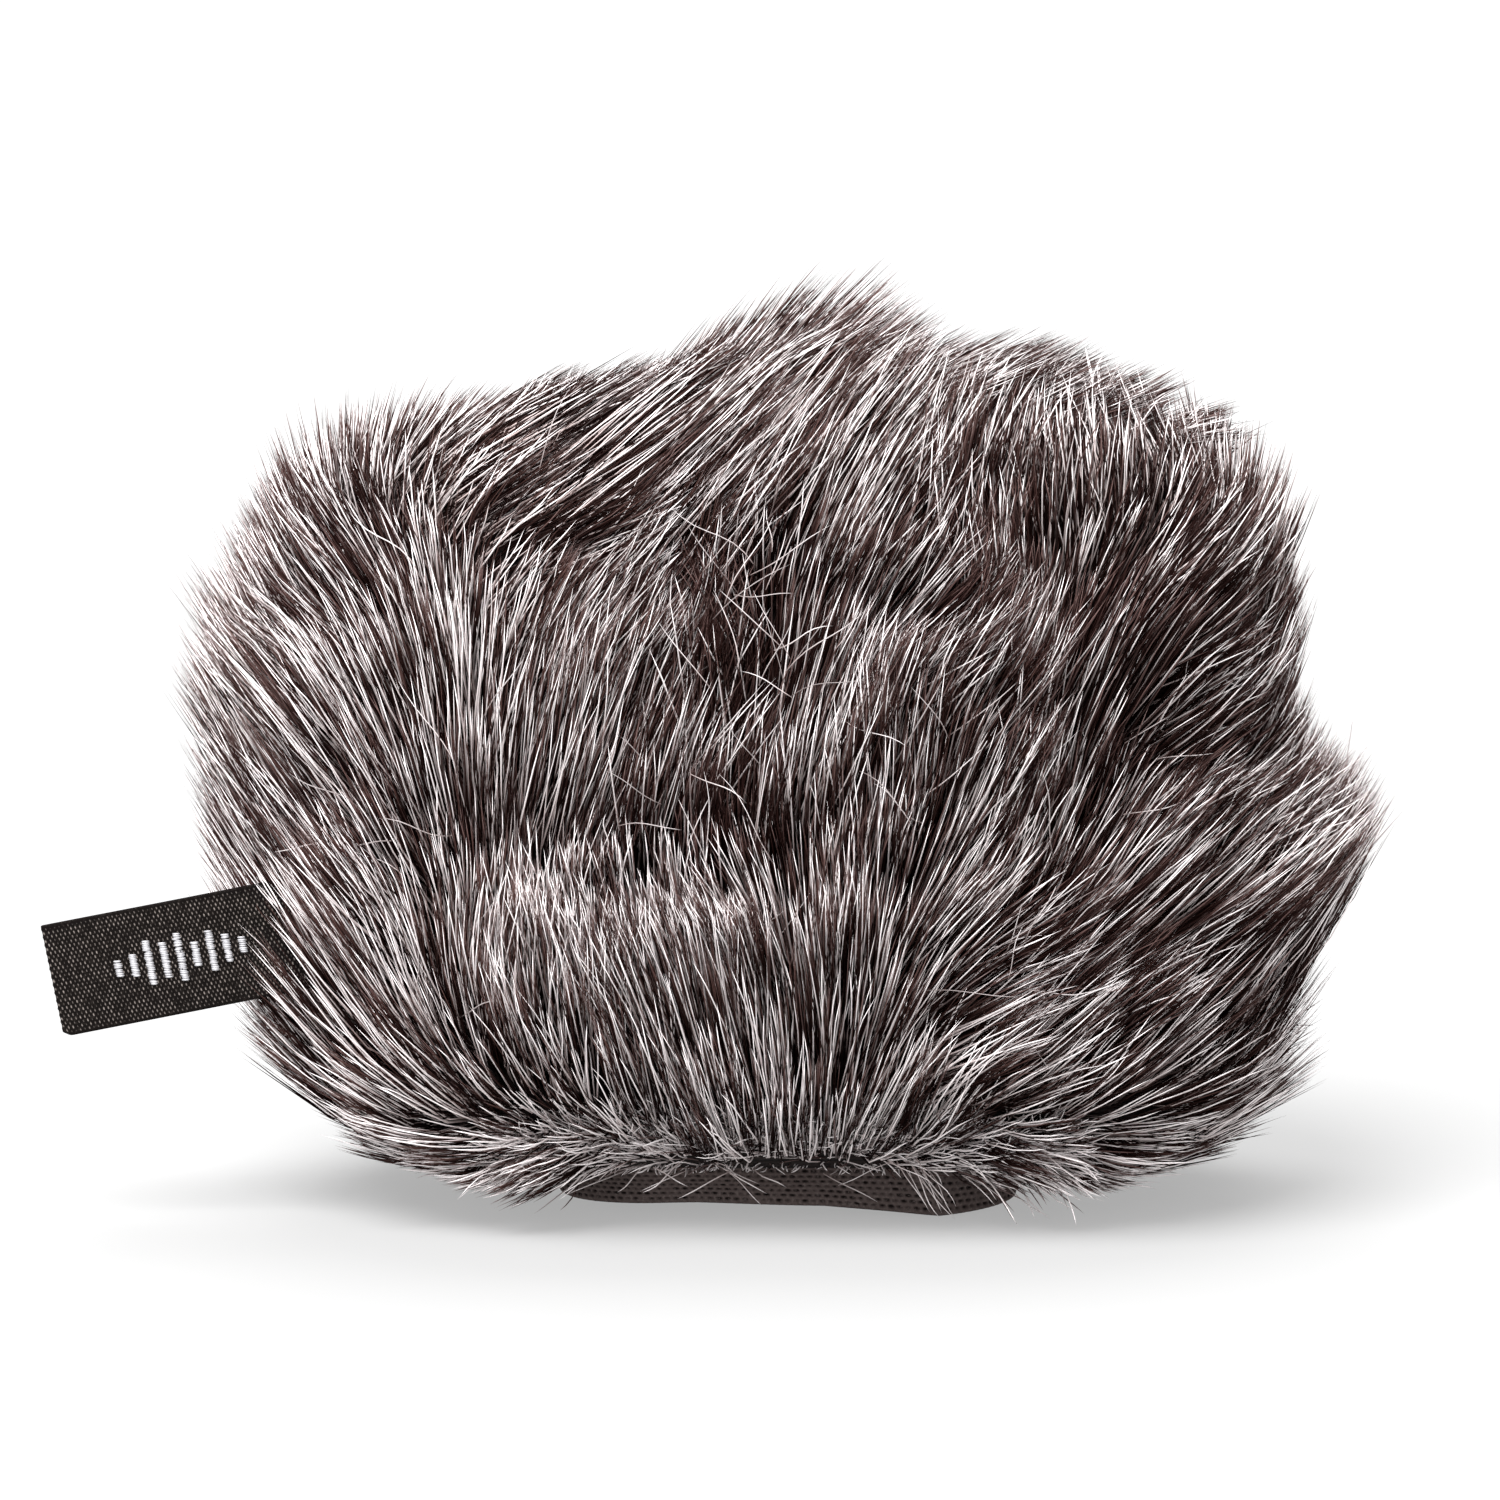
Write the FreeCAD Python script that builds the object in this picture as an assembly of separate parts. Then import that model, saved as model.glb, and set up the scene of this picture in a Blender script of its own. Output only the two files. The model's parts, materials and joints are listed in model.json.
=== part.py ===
"""Furry windscreen for the microphone end of a handheld audio recorder.

A soft cover worn over the recorder's head. From the inside out it is a mesh lining, a layer of
open-cell foam, a knitted backing cloth and a long fur pile. Each layer is cut as a front panel, a
back panel and one strip (the gusset) that runs up the left side, over the top and down the right
side. The open bottom is held by a knitted elastic band, and a woven label is sewn into the left
front seam.

Frame: millimetres, X to the right, Y to the back, Z up. The origin is the centre of the mouth, on
the plane of the elastic band's lower rim, which is what the cover stands on.
"""
import FreeCAD, Part
import math
import os

from FreeCAD import Vector

# ---------------------------------------------------------------- driving dimensions (mm)
# The space for the recorder's head
CAVITY_WIDTH = 80.0
CAVITY_DEPTH = 40.0
CAVITY_FLOOR = 12.4
CAVITY_TOP = 74.8
CAVITY_CORNER = 13.0        # radius of its upright edges
CAVITY_TOP_ROUND = 7.0      # radius of its upper edges
CAVITY_FLOOR_ROUND = 3.0    # radius of its lower edges

# Cloth and foam thicknesses
LINING = 0.6
FOAM = 5.0
BACKING = 1.2

# The fur pile's outer shape
PILE_WIDTH = 132.0
PILE_DEPTH = 92.0
PILE_BOTTOM = 1.0
PILE_TOP = 100.0
PILE_CORNER = 45.0
PILE_TOP_ROUND = 43.0
PILE_BOTTOM_ROUND = 36.0
PARTING_HALF_WIDTH = 28.0   # where the pile parts in front and behind and shows the band
PARTING_HALF_DEPTH = 27.0
PARTING_HEIGHT = 5.4

# The mouth and its elastic band
MOUTH_WIDTH = 52.0
MOUTH_DEPTH = 36.0
MOUTH_CORNER = 12.0
BAND = 1.4
BAND_HEIGHT = 13.6
BINDING = 0.7
BINDING_LOW = 10.0
BINDING_HIGH = 14.0

# Seams and stitches
SEAM_Y = MOUTH_DEPTH / 2    # the panels meet the gusset in the planes y = -SEAM_Y and y = SEAM_Y
SEAM_PITCH = 3.6
SEAM_THREAD_RADIUS = 0.35
SEAM_CHANNEL_DEPTH = 1.0
SEAM_CHANNEL_HALF = 0.8
MOUTH_STITCHES = 68
MOUTH_STITCH_MARGIN = 0.6   # from the binding's edges
FINE_THREAD_RADIUS = 0.25
JOIN_STITCHES = 8
JOIN_STITCH_HALF = 2.4
JOIN_START = 0.8

# The woven label
LABEL_LENGTH = 35.8
LABEL_WIDTH = 12.7
LABEL_THICK = 0.8
LABEL_CORNER = 0.9
LABEL_TILT = 11.3           # degrees that the label's outer end hangs below its seam
LABEL_HEIGHT = 34.1         # of the seam end's middle
LABEL_SWING = 25.0          # degrees each way about the seam
LABEL_SWING_SPARE = 3.0     # more degrees that the pile leaves free on each side
LABEL_SLOT_SPARE = 0.6
HINGE_GAP = 2.4             # from the backing's face to the line that the label bends about
LABEL_START = 0.4           # from that line to the label's free part
TAB_LENGTH = 5.8            # the part caught in the seam, inside the backing's face
TAB_PROUD = 1.9             # and outside it
POCKET_HALF_THICK = 1.3     # the pocket in the foam round the caught part
POCKET_SPARE = 0.5
TACK_ROWS = (4.1, 5.1)      # how deep the two rows of tack stitches lie
TACKS_PER_ROW = 7
TACK_PITCH = 1.8
TACK_LENGTH = 1.2
MOTIF_BARS = (1.6, 3.0, 4.4, 2.6, 5.2, 3.8, 4.8, 2.4, 1.6)   # heights, in order outwards
MOTIF_PITCH = 1.75
MOTIF_BAR_WIDTH = 0.85
MOTIF_RELIEF = 0.14
MOTIF_START = 14.2          # from the bending line to the first bar

BIG = 400.0


# ---------------------------------------------------------------- shared shapes
def rounded_box(width, depth, low, high, corner, top_round, bottom_round):
    """A box centred on the Z axis with rounded upright, upper and lower edges."""
    box = Part.makeBox(width, depth, high - low, Vector(-width / 2, -depth / 2, low))
    upright = [edge for edge in box.Edges if edge.BoundBox.ZLength > (high - low) / 2]
    box = box.makeFillet(corner, upright)
    upper = [edge for edge in box.Edges if edge.BoundBox.ZMin > high - 1e-4]
    box = box.makeFillet(top_round, upper)
    lower = [edge for edge in box.Edges if edge.BoundBox.ZMax < low + 1e-4]
    return box.makeFillet(bottom_round, lower)


def grown_cavity(growth):
    """The cavity's shape, grown by the same amount on every side."""
    return rounded_box(
        CAVITY_WIDTH + 2 * growth,
        CAVITY_DEPTH + 2 * growth,
        CAVITY_FLOOR - growth,
        CAVITY_TOP + growth,
        CAVITY_CORNER + growth,
        CAVITY_TOP_ROUND + growth,
        CAVITY_FLOOR_ROUND + growth,
    )


def mouth_prism(inset, low, high):
    """The mouth's outline, moved inwards by inset and raised from low to high."""
    width = MOUTH_WIDTH - 2 * inset
    depth = MOUTH_DEPTH - 2 * inset
    box = Part.makeBox(width, depth, high - low, Vector(-width / 2, -depth / 2, low))
    upright = [edge for edge in box.Edges if edge.BoundBox.ZLength > (high - low) / 2]
    return box.makeFillet(MOUTH_CORNER - inset, upright)


def slab(y_low, y_high):
    """Everything between two upright planes parallel to the front."""
    return Part.makeBox(BIG, y_high - y_low, BIG, Vector(-BIG / 2, y_low, -BIG / 2))


def stitch(start, end, radius):
    """One straight stitch: a short round rod from start to end."""
    return Part.makeCylinder(radius, start.distanceToPoint(end), start, end - start)


def solids_of(shape):
    """The separate solids of a shape, as one compound."""
    return Part.makeCompound(shape.Solids)


def write(name, shape):
    """Write one node, after making sure that it is sound."""
    solids = shape.Solids
    if not solids:
        raise ValueError("no solid in " + name)
    for solid in solids:
        if not solid.isValid() or not solid.isClosed():
            raise ValueError("unsound solid in " + name)
    shape.exportStep("parts/" + name + ".step")
    print(f"{name:24s} solids {len(solids):3d}  volume {shape.Volume:10.1f} mm3")


# ---------------------------------------------------------------- the label's own directions
TILT = math.radians(LABEL_TILT)
OUTWARD = Vector(-math.cos(TILT), 0, -math.sin(TILT))
UPWARD = Vector(-math.sin(TILT), 0, math.cos(TILT))
FORWARD = Vector(0, -1, 0)


def label_seam_point():
    """Where the label's middle line leaves the backing's outer face."""
    growth = LINING + FOAM + BACKING
    corner = CAVITY_CORNER + growth
    centre_x = CAVITY_WIDTH / 2 + growth - corner
    centre_y = CAVITY_DEPTH / 2 + growth - corner
    reach = math.sqrt(corner ** 2 - (SEAM_Y - centre_y) ** 2)
    return Vector(-centre_x - reach, -SEAM_Y, LABEL_HEIGHT)


SEAM_POINT = label_seam_point()
HINGE_POINT = SEAM_POINT + OUTWARD * HINGE_GAP


def label_point(out, up, forward):
    """A point given along the label's directions from the line it bends about."""
    return HINGE_POINT + OUTWARD * out + UPWARD * up + FORWARD * forward


def label_plate(outline, back, front):
    """A flat plate in the label's plane, from points given as (out, up)."""
    points = [label_point(out, up, back) for out, up in outline]
    face = Part.Face(Part.makePolygon(points + points[:1]))
    return face.extrude(FORWARD * (front - back))


def label_block(out_low, out_high, half_up, half_thick):
    """A block about the label's middle plane."""
    outline = [(out_low, -half_up), (out_high, -half_up), (out_high, half_up), (out_low, half_up)]
    return label_plate(outline, -half_thick, half_thick)


def label_swing_space():
    """The wedge that the label sweeps through in the pile, with some room to spare."""
    half_up = LABEL_WIDTH / 2 + LABEL_SLOT_SPARE
    half_base = LABEL_THICK / 2 + LABEL_SLOT_SPARE
    spread = math.tan(math.radians(LABEL_SWING + LABEL_SWING_SPARE))
    out_low = -HINGE_GAP - LABEL_WIDTH / 2
    out_high = LABEL_LENGTH
    half_tip = half_base + out_high * spread
    corners = [(out_low, -half_base), (0, -half_base), (out_high, -half_tip)]
    corners += [(out, -forward) for out, forward in reversed(corners)]
    points = [label_point(out, -half_up, forward) for out, forward in corners]
    face = Part.Face(Part.makePolygon(points + points[:1]))
    return face.extrude(UPWARD * (2 * half_up))


# ---------------------------------------------------------------- the layers
def split_panels(layer):
    """Cut a layer into its front panel, its back panel and its gusset."""
    front = layer.common(slab(-BIG / 2, -SEAM_Y))
    gusset = layer.common(slab(-SEAM_Y, SEAM_Y))
    back = layer.common(slab(SEAM_Y, BIG / 2))
    return {"front": front, "gusset": gusset, "back": back}


def layer_between(inner_growth, outer_growth):
    """One layer of cloth or foam round the cavity, open at the mouth."""
    opening = mouth_prism(0, -BIG / 4, CAVITY_FLOOR + MOUTH_CORNER)
    return grown_cavity(outer_growth).cut(grown_cavity(inner_growth)).cut(opening)


def seam_channel(y):
    """The shallow channel in the foam where a seam's stitches lie."""
    outer = grown_cavity(LINING + FOAM)
    inner = grown_cavity(LINING + FOAM - SEAM_CHANNEL_DEPTH)
    return outer.cut(inner).common(slab(y - SEAM_CHANNEL_HALF, y + SEAM_CHANNEL_HALF))


def make_lining():
    return split_panels(layer_between(0, LINING))


def make_foam():
    foam = layer_between(LINING, LINING + FOAM)
    foam = foam.cut(seam_channel(-SEAM_Y)).cut(seam_channel(SEAM_Y))
    pocket = label_block(
        -HINGE_GAP - TAB_LENGTH - POCKET_SPARE,
        0,
        LABEL_WIDTH / 2 + POCKET_SPARE,
        POCKET_HALF_THICK,
    )
    return split_panels(foam.cut(pocket))


def make_backing():
    backing = layer_between(LINING + FOAM, LINING + FOAM + BACKING)
    return split_panels(backing.cut(make_label_tab()))


def make_pile():
    envelope = rounded_box(
        PILE_WIDTH,
        PILE_DEPTH,
        PILE_BOTTOM,
        PILE_TOP,
        PILE_CORNER,
        PILE_TOP_ROUND,
        PILE_BOTTOM_ROUND,
    )
    pile = envelope.cut(grown_cavity(LINING + FOAM + BACKING))
    pile = pile.cut(mouth_prism(0, -BIG / 4, CAVITY_FLOOR))
    parting = Part.makeBox(
        2 * PARTING_HALF_WIDTH,
        2 * PARTING_HALF_DEPTH,
        PARTING_HEIGHT,
        Vector(-PARTING_HALF_WIDTH, -PARTING_HALF_DEPTH, 0),
    )
    return split_panels(pile.cut(parting).cut(label_swing_space()))


# ---------------------------------------------------------------- the mouth
def make_band():
    outer = mouth_prism(0, 0, BAND_HEIGHT)
    return outer.cut(mouth_prism(BAND, -1, BAND_HEIGHT + 1))


def make_binding():
    outer = mouth_prism(BAND, BINDING_LOW, BINDING_HIGH)
    return outer.cut(mouth_prism(BAND + BINDING, BINDING_LOW - 1, BINDING_HIGH + 1))


def make_mouth_stitches():
    """A zigzag of stitches on the binding's inner face."""
    clear = BAND + BINDING + FINE_THREAD_RADIUS + 0.05
    outline = mouth_prism(clear, 0, 1).slice(Vector(0, 0, 1), 0.5)[0]
    points = outline.discretize(Number=MOUTH_STITCHES + 1)
    low = BINDING_LOW + MOUTH_STITCH_MARGIN
    high = BINDING_HIGH - MOUTH_STITCH_MARGIN
    stitches = []
    for index in range(MOUTH_STITCHES):
        here, there = points[index], points[index + 1]
        start = here + (there - here) * 0.2
        end = here + (there - here) * 0.8
        start_z, end_z = (low, high) if index % 2 else (high, low)
        start = Vector(start.x, start.y, start_z)
        end = Vector(end.x, end.y, end_z)
        stitches.append(stitch(start, end, FINE_THREAD_RADIUS))
    return Part.makeCompound(stitches)


def make_band_join_stitches():
    """A ladder of stitches that closes the band's loop, inside it at the back."""
    y = MOUTH_DEPTH / 2 - BAND - FINE_THREAD_RADIUS
    pitch = (BINDING_LOW - 1.5 * JOIN_START) / JOIN_STITCHES
    stitches = []
    for index in range(JOIN_STITCHES):
        z = JOIN_START + pitch * index
        start = Vector(-JOIN_STITCH_HALF, y, z)
        end = Vector(JOIN_STITCH_HALF, y, z + pitch * 0.3)
        stitches.append(stitch(start, end, FINE_THREAD_RADIUS))
    return Part.makeCompound(stitches)


# ---------------------------------------------------------------- the panel seams
def meets_mouth(point):
    return abs(point.x) < MOUTH_WIDTH / 2 + 1 and point.z < CAVITY_FLOOR + 2


def meets_label(point):
    near_height = abs(point.z - LABEL_HEIGHT) < LABEL_WIDTH / 2 + 2
    return near_height and point.x < 0 and point.y < 0


def make_seam_stitches(y):
    """Straight stitches along the seam at y, inside the backing."""
    thread_line = grown_cavity(LINING + FOAM - SEAM_THREAD_RADIUS - 0.08)
    outline = thread_line.slice(Vector(0, 1, 0), y)[0]
    points = outline.discretize(Distance=SEAM_PITCH)
    stitches = []
    for here, there in zip(points, points[1:]):
        if meets_mouth(here) or meets_mouth(there) or meets_label(here) or meets_label(there):
            continue
        start = here + (there - here) * 0.14
        end = here + (there - here) * 0.86
        stitches.append(stitch(start, end, SEAM_THREAD_RADIUS))
    return Part.makeCompound(stitches)


# ---------------------------------------------------------------- the label
def make_label():
    end = LABEL_START + LABEL_LENGTH
    label = label_block(LABEL_START, end, LABEL_WIDTH / 2, LABEL_THICK / 2)
    fold_edges = []
    for edge in label.Edges:
        middle = edge.CenterOfMass - HINGE_POINT
        at_end = abs(middle.dot(OUTWARD) - end) < 1e-4
        if at_end and abs(middle.dot(FORWARD)) < 1e-4:
            fold_edges.append(edge)
    return label.makeFillet(LABEL_CORNER, fold_edges)


def make_label_motif():
    """A generic row of level-meter bars, woven proud of the label's front."""
    bars = []
    for index, height in enumerate(MOTIF_BARS):
        out = MOTIF_START + index * MOTIF_PITCH
        outline = [
            (out, -height / 2),
            (out + MOTIF_BAR_WIDTH, -height / 2),
            (out + MOTIF_BAR_WIDTH, height / 2),
            (out, height / 2),
        ]
        front = LABEL_THICK / 2
        bars.append(label_plate(outline, front, front + MOTIF_RELIEF))
    return Part.makeCompound(bars)


def make_label_tab():
    """The end of the label that is caught in the seam."""
    low = -HINGE_GAP - TAB_LENGTH
    high = -HINGE_GAP + TAB_PROUD
    return label_block(low, high, LABEL_WIDTH / 2, LABEL_THICK / 2)


def make_label_tack_stitches():
    """Two rows of stitches on the caught end, in the foam's pocket."""
    stitches = []
    front = LABEL_THICK / 2 + FINE_THREAD_RADIUS
    for depth in TACK_ROWS:
        out = -HINGE_GAP - depth
        for index in range(TACKS_PER_ROW):
            up = (index - (TACKS_PER_ROW - 1) / 2) * TACK_PITCH
            start = label_point(out, up - TACK_LENGTH / 2, front)
            end = label_point(out, up + TACK_LENGTH / 2, front)
            stitches.append(stitch(start, end, FINE_THREAD_RADIUS))
    return Part.makeCompound(stitches)


# ---------------------------------------------------------------- write every node
os.makedirs("parts", exist_ok=True)

for layer_name, panels in (
    ("lining", make_lining()),
    ("foam", make_foam()),
    ("fur_backing", make_backing()),
    ("fur_pile", make_pile()),
):
    for panel_name, panel in panels.items():
        write(panel_name + "_" + layer_name, solids_of(panel))

write("elastic_band", make_band())
write("mouth_binding", make_binding())
write("mouth_stitches", make_mouth_stitches())
write("band_join_stitches", make_band_join_stitches())
write("front_seam_stitches", make_seam_stitches(-SEAM_Y))
write("back_seam_stitches", make_seam_stitches(SEAM_Y))
write("woven_label", make_label())
write("label_motif", make_label_motif())
write("label_seam_tab", make_label_tab())
write("label_tack_stitches", make_label_tack_stitches())

print("label hinge at", HINGE_POINT, "along", UPWARD)
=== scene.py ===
"""The looks of a furry windscreen for a handheld recorder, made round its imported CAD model.

The fur is real strands: a dark underfur and longer pale guard hairs, combed up and outwards from
the mouth in tufts. Lengths inside the script are in millimetres, in the CAD model's own frame, and
become metres when a mesh is made.
"""

import json
import math

import bpy
import numpy as np
from mathutils.kdtree import KDTree
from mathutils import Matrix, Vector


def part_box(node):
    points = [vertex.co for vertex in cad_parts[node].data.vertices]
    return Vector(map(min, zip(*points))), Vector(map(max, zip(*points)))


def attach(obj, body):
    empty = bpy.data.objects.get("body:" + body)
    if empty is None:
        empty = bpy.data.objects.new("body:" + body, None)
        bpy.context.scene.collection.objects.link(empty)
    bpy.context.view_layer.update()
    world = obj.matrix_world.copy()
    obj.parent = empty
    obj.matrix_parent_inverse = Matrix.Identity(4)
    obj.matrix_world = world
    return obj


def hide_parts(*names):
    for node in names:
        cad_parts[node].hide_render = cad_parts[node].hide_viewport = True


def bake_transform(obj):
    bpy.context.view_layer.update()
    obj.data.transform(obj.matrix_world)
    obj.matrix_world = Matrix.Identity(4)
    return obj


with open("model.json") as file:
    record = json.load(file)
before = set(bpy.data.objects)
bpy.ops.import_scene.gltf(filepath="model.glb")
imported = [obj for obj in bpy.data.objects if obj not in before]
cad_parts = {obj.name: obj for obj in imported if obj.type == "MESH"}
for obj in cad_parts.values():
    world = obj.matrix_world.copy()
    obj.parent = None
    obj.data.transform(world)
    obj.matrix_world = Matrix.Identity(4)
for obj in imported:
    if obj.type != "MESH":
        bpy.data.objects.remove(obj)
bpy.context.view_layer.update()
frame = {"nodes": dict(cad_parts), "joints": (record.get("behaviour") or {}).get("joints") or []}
NODES = frame["nodes"]

MM = 0.001
PANELS = ("front", "gusset", "back")


# ---- small helpers
def unit(vectors):
    """Vectors of length one."""
    return vectors / np.maximum(np.linalg.norm(vectors, axis=-1, keepdims=True), 1e-9)


def xyz(x, y, z):
    """Points or directions from their three parts."""
    return np.stack(np.broadcast_arrays(x, y, z), axis=-1)


def fade(low, high, values):
    """0 below the low value and 1 above the high one, with a smooth change between."""
    share = np.clip((values - low) / (high - low), 0, 1)
    return share * share * (3 - 2 * share)


def wobble(points, wavelength, seed):
    """A smooth random value from about -1 to 1 at each point, varying over the wavelength."""
    rng = np.random.default_rng(seed)
    total = np.zeros(points.shape[:-1])
    waves = 5
    for _ in range(waves):
        direction = unit(rng.normal(size=3)) * 2 * math.pi / wavelength
        total += np.sin(points @ direction * rng.uniform(0.7, 1.4) + rng.uniform(0, 2 * math.pi))
    return total / math.sqrt(waves)


def node_box(*names):
    """The lowest and highest corner of several CAD nodes together, in mm."""
    boxes = np.array([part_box(name) for name in names]) / MM
    return boxes[:, 0].min(axis=0), boxes[:, 1].max(axis=0)


class RoundedBlock:
    """A block with rounded edges, shaped as the CAD cuts it."""

    def __init__(self, box, corner, top_round, bottom_round):
        self.low, self.high = box
        self.middle = (self.low + self.high) / 2
        self.half = (self.high - self.low) / 2
        self.rounds = corner, top_round, bottom_round

    def distance(self, points):
        """How far each point lies outside the surface; negative inside."""
        corner, top_round, bottom_round = self.rounds
        local = points - self.middle
        plan = np.abs(local[..., :2]) - (self.half[:2] - corner)
        outside = np.linalg.norm(np.maximum(plan, 0), axis=-1)
        plan = outside + np.minimum(plan.max(axis=-1), 0) - corner
        rise = np.abs(local[..., 2]) - self.half[2]
        rounding = np.where(local[..., 2] > 0, top_round, bottom_round)
        both = np.stack([plan + rounding, rise + rounding], axis=-1)
        outside = np.linalg.norm(np.maximum(both, 0), axis=-1)
        return outside + np.minimum(both.max(axis=-1), 0) - rounding

    def normal(self, points):
        """The outward direction at each point."""
        shifts = 0.05 * np.eye(3)
        slopes = [self.distance(points + shift) - self.distance(points - shift) for shift in shifts]
        return unit(np.stack(slopes, axis=-1))

    def reach(self, centre, directions):
        """How far the surface is from the centre along each direction."""
        near = np.zeros(len(directions))
        far = np.full(len(directions), 200.0)  # beyond any part of the cover
        for _ in range(24):
            middle = (near + far) / 2
            inside = self.distance(centre + directions * middle[:, None]) < 0
            near = np.where(inside, middle, near)
            far = np.where(inside, far, middle)
        return (near + far) / 2


SKIN = RoundedBlock(node_box(*[panel + "_fur_backing" for panel in PANELS]), corner=19.8,
                    top_round=13.8, bottom_round=9.8)
COAT = RoundedBlock(node_box(*[panel + "_fur_pile" for panel in PANELS]), corner=45.0,
                    top_round=43.0, bottom_round=36.0)
CENTRE = np.array([0.0, 0.0, 44.0])

# The label's own directions, from the joint that it bends about
LABEL_JOINT = frame["joints"][0]
LABEL_HINGE = np.array(LABEL_JOINT["pos_m"]) / MM
LABEL_UP = unit(np.array(LABEL_JOINT["axis"], float))
LABEL_FORWARD = np.array([0.0, -1.0, 0.0])
LABEL_OUT = np.cross(LABEL_FORWARD, LABEL_UP)
LABEL_AXES = np.stack([LABEL_OUT, LABEL_UP, LABEL_FORWARD])


def label_coordinates(points):
    """Points as (out along the label, up across it, forward of it), from its bending line."""
    return np.moveaxis((points - LABEL_HINGE) @ LABEL_AXES.T, -1, 0)


def label_space(out, up, forward):
    """Points from their places along the label's own directions."""
    return LABEL_HINGE + xyz(out, up, forward) @ LABEL_AXES


# ---- materials
def new_material(name, roughness, specular):
    """A material with its principled shader, and the tree to build on."""
    material = bpy.data.materials.new(name)
    material.use_nodes = True
    shader = material.node_tree.nodes["Principled BSDF"]
    shader.inputs["Roughness"].default_value = roughness
    shader.inputs["Specular IOR Level"].default_value = specular
    return material, material.node_tree, shader


def node(tree, kind, settings=None, **inputs):
    """A shader node with its settings, and its inputs set or linked by name, or by i and number."""
    made = tree.nodes.new("ShaderNode" + kind)
    for key, value in (settings or {}).items():
        setattr(made, key, value)
    for key, value in inputs.items():
        socket = made.inputs[int(key[1:])] if key[0] == "i" and key[1:].isdigit() else made.inputs[key]
        if isinstance(value, bpy.types.NodeSocket):
            tree.links.new(value, socket)
        else:
            socket.default_value = value
    return made


def ramp(tree, factor, stops):
    """A colour ramp over (place, colour) stops."""
    made = node(tree, "ValToRGB", i0=factor)
    elements = made.color_ramp.elements
    while len(elements) < len(stops):
        elements.new(0.5)
    for element, (place, colour) in zip(elements, stops):
        element.position = place
        element.color = (*colour, 1)
    return made.outputs["Color"]


def mixed(tree, factor, first, second):
    """The first colour turning into the second as the factor rises."""
    return node(tree, "Mix", {"data_type": "RGBA"}, i0=factor, i6=first, i7=second).outputs[2]


def attribute(tree, name):
    return node(tree, "Attribute", {"attribute_name": name}).outputs["Fac"]


def texture(tree, kind, output="Fac", settings=None, **inputs):
    """A texture's value by place on the object."""
    where = node(tree, "TexCoord").outputs["Object"]
    return node(tree, "Tex" + kind, settings, Vector=where, **inputs).outputs[output]


def finish_surface(tree, shader, colour, height, strength, depth):
    """Gives the shader its colour, and raises it by a height times this depth in mm."""
    tree.links.new(colour, shader.inputs["Base Color"])
    bump = node(tree, "Bump", Height=height, Strength=strength, Distance=depth * MM)
    tree.links.new(bump.outputs["Normal"], shader.inputs["Normal"])


def fur_material(name, dim_stops, bright_stops, roughness, specular):
    """Hair that changes colour from root to tip, between a dim and a bright kind of strand."""
    material, tree, shader = new_material(name, roughness, specular)
    along = attribute(tree, "strand_along")
    dim = ramp(tree, along, dim_stops)
    bright = ramp(tree, along, bright_stops)
    colour = mixed(tree, attribute(tree, "strand_tone"), dim, bright)
    tree.links.new(colour, shader.inputs["Base Color"])
    return material


# ---- fur: where it grows
FAN_X = 6.0  # the nap fans out from a line at this x at the floor,
FAN_SLOPE = -0.55  # which moves over by this much for each mm of height,
FAN_DEPTH = 16.0  # and seems to start this far below the floor
PILE_RISE = 19.0
NAP_LEAN = 21.0
HEM_TOP = 17.0  # hair rooted below this, beyond the elastic's middle, hangs down
HEM_LOW = 7.0
HEM_START = 13.0  # x where it starts to
HEM_END = 23.0  # and where all of it does
HEM_FLAT_HALF = 29.0  # out to here it reaches the floor, and then its edge curves up
HEM_ROUND = 34.0

# Where the coat's outline departs from the plain block: degrees from +X towards +Z, spread, share
OUTLINE = (
    (81, 11, 0.08), (117, 16, -0.155), (68, 8, -0.075), (54, 6, -0.055), (42, 4, -0.07),
    (37, 4, 0.05), (28, 5, -0.05), (15, 10, -0.145), (1, 8, 0.06), (-12, 6, -0.08), (-23, 6, 0.045),
    (160, 12, 0.045), (138, 5, 0.045), (-60, 9, -0.06), (-121, 9, -0.13),
)

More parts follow.
